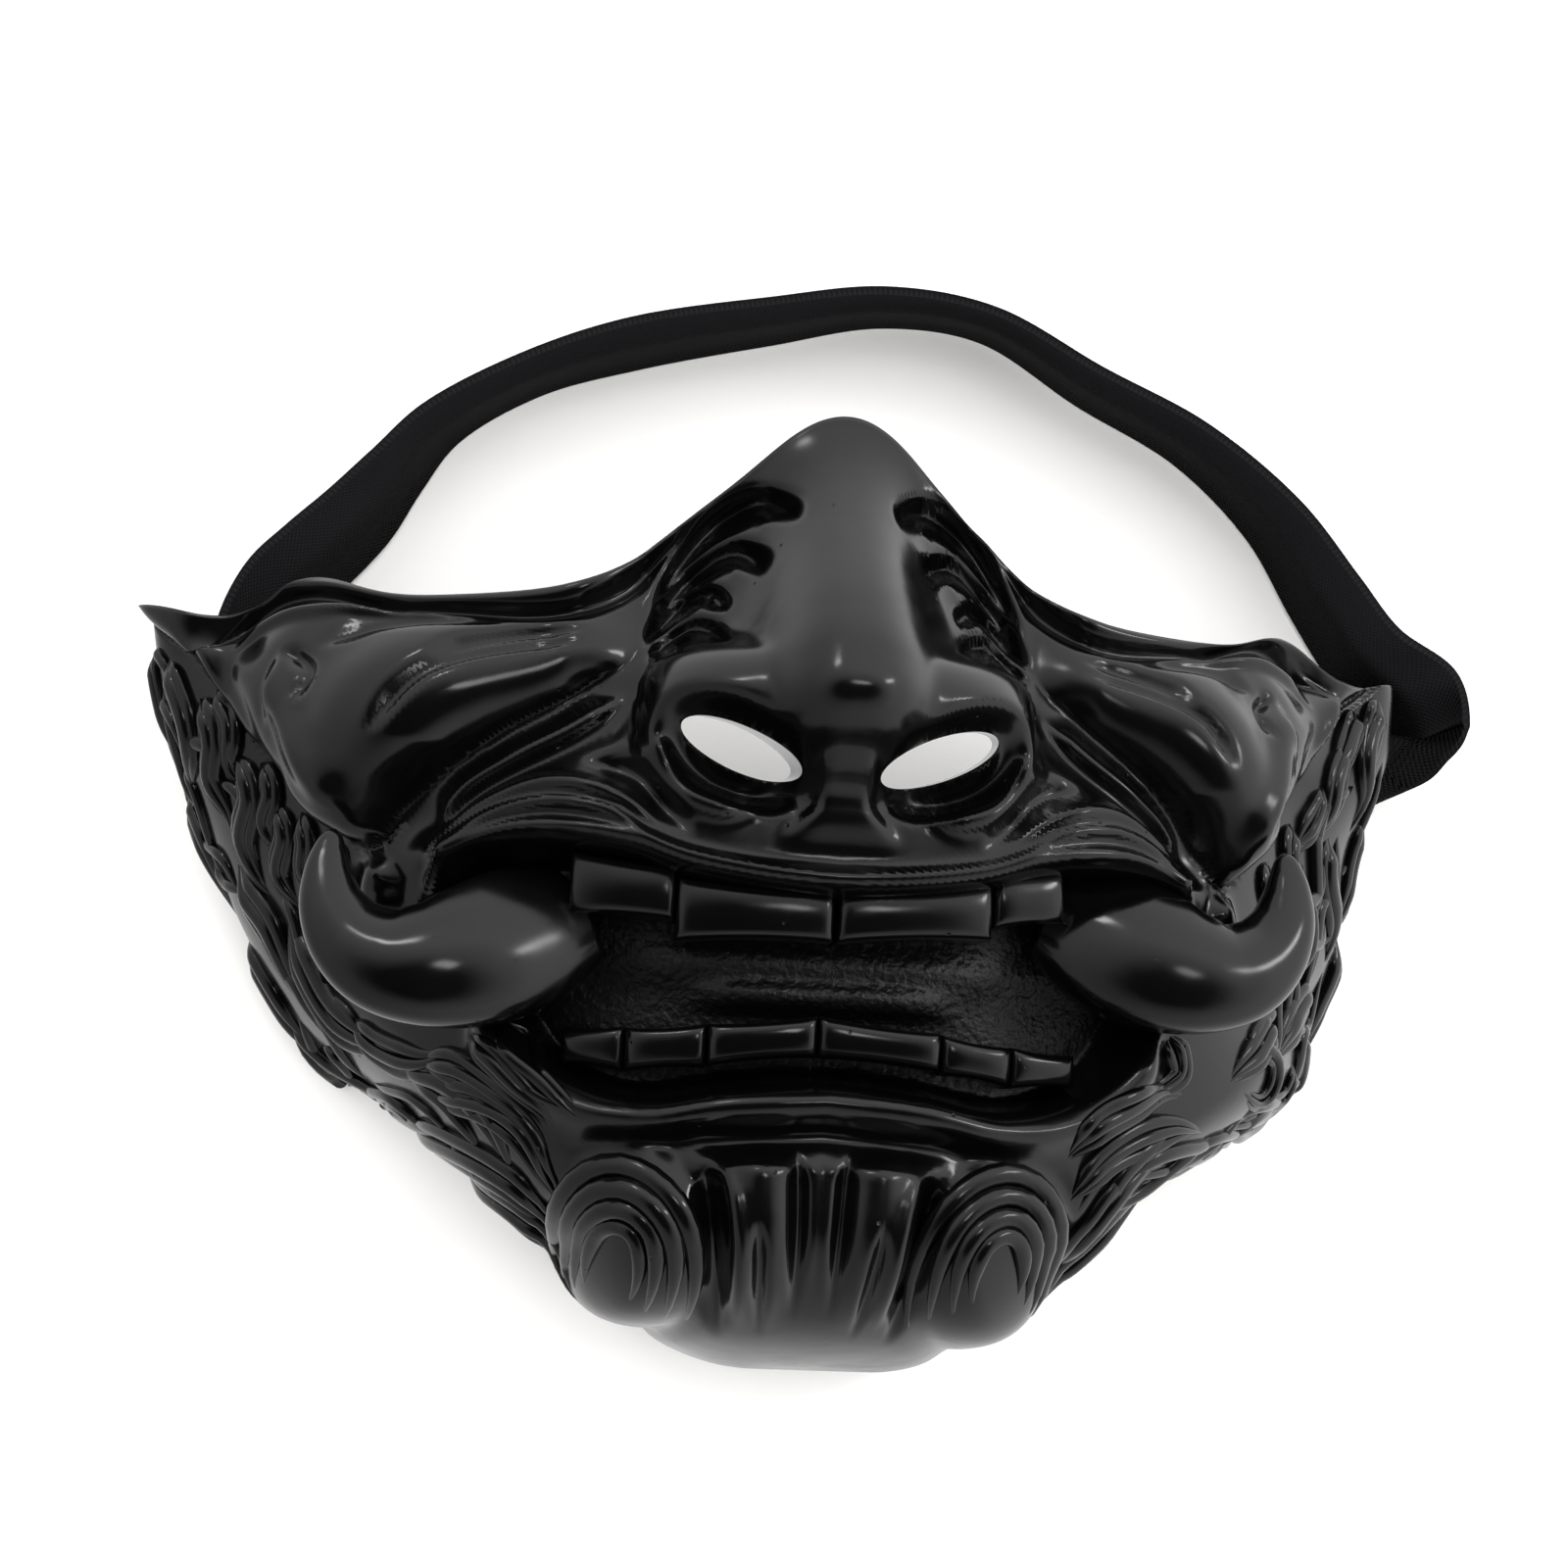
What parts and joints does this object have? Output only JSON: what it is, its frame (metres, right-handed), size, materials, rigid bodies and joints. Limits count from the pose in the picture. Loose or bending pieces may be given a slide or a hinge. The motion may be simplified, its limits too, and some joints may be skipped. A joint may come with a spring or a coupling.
{
  "type": "samurai half mask with strap",
  "caption": "Demon-faced half mask with a big nose, bared teeth, curling tusks and carved beard, open behind, held on by one flat elastic strap.",
  "frame": {"origin": "middle of the footprint of mask and strap, on the plane that the rim rests on", "axes": "+X to the wearer's left, +Y from the chin towards the nose's peak, +Z the way the face looks"},
  "size_m": [0.2216, 0.1866, 0.0983],
  "materials": {
    "resin": "glossy black cast resin",
    "elastic": "matte black woven elastic"
  },
  "bodies": {
    "root": {"face_shell": "resin", "upper_teeth": "resin", "lower_teeth": "resin", "tusk_right": "resin", "tusk_left": "resin", "strap": "elastic"}
  },
  "joints": []
}
